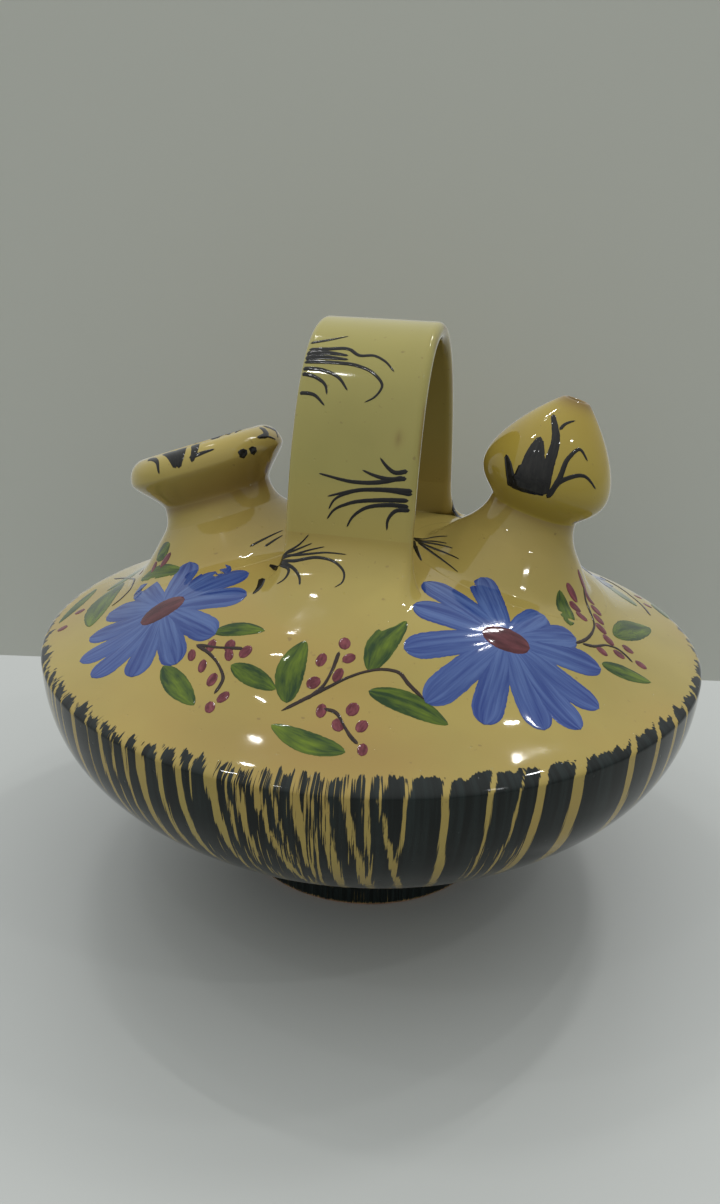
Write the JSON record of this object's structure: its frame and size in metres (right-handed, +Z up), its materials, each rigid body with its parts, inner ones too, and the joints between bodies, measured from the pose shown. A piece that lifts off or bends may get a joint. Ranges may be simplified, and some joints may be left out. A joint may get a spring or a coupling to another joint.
{
  "type": "botijo water jug",
  "caption": "Glazed clay botijo: round closed body on a foot ring, strap handle over the top, wide filler neck with a rolled lip and a slim drinking spout with a turnip-shaped bulb.",
  "frame": {"origin": "centre of the foot ring's underside, on the surface that the jug stands on", "axes": "+Z up along the body's turning axis, +X towards the drinking spout, -X towards the filler, handle arch in the YZ plane"},
  "size_m": [0.24, 0.24, 0.2034],
  "materials": {
    "glaze_cream": "gloss",
    "glaze_yellow": "gloss",
    "glaze_striped": "gloss"
  },
  "bodies": {
    "root": {"foot_ring": "glaze_striped", "lower_bowl": "glaze_striped", "upper_dome": "glaze_cream", "filler_neck": "glaze_cream", "filler_lip": "glaze_cream", "filler_base_coil": "glaze_cream", "spout_neck": "glaze_cream", "spout_bulb": "glaze_yellow", "spout_base_coil": "glaze_cream", "strap_handle": "glaze_yellow", "handle_front_root": "glaze_cream", "handle_rear_root": "glaze_cream"}
  },
  "joints": []
}
